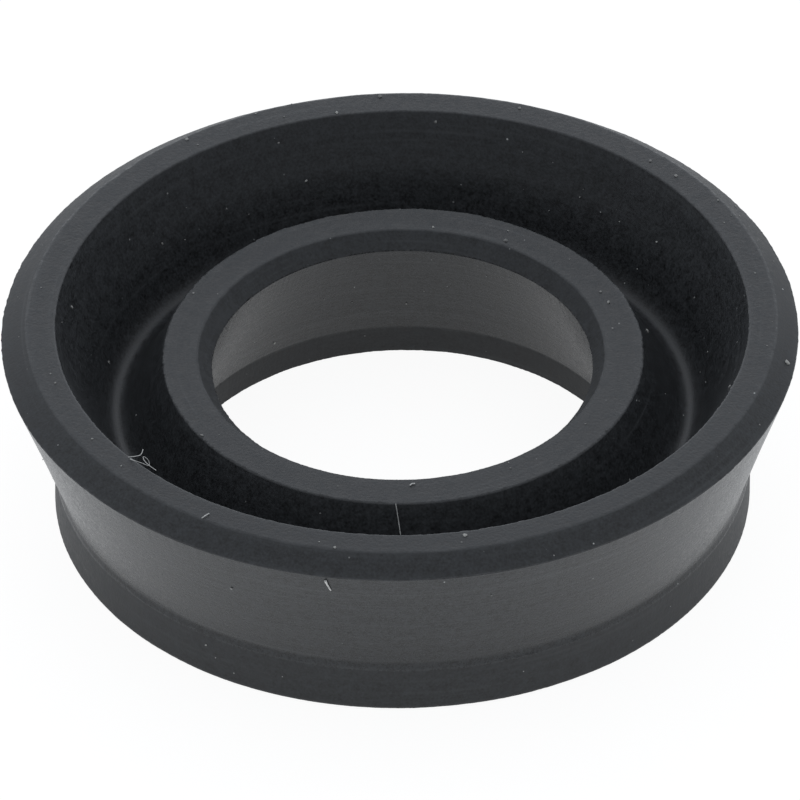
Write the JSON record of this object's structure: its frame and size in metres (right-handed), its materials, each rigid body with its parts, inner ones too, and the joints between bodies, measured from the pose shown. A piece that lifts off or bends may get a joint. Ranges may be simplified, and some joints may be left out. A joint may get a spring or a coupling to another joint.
{
  "type": "u cup seal",
  "caption": "Round moulded rubber U cup seal: a taller lip leaning outwards and a lower lip leaning inwards stand on one solid heel with a V groove between them.",
  "frame": {"origin": "centre of the heel's flat face, on the axis of the seal", "axes": "+Z along the seal's axis, from the flat face of the heel towards the lips"},
  "size_m": [0.0204, 0.0204, 0.0056],
  "materials": {
    "black_rubber": "semi-matt moulded"
  },
  "bodies": {
    "root": {"u_cup_seal": "black_rubber"}
  },
  "joints": []
}
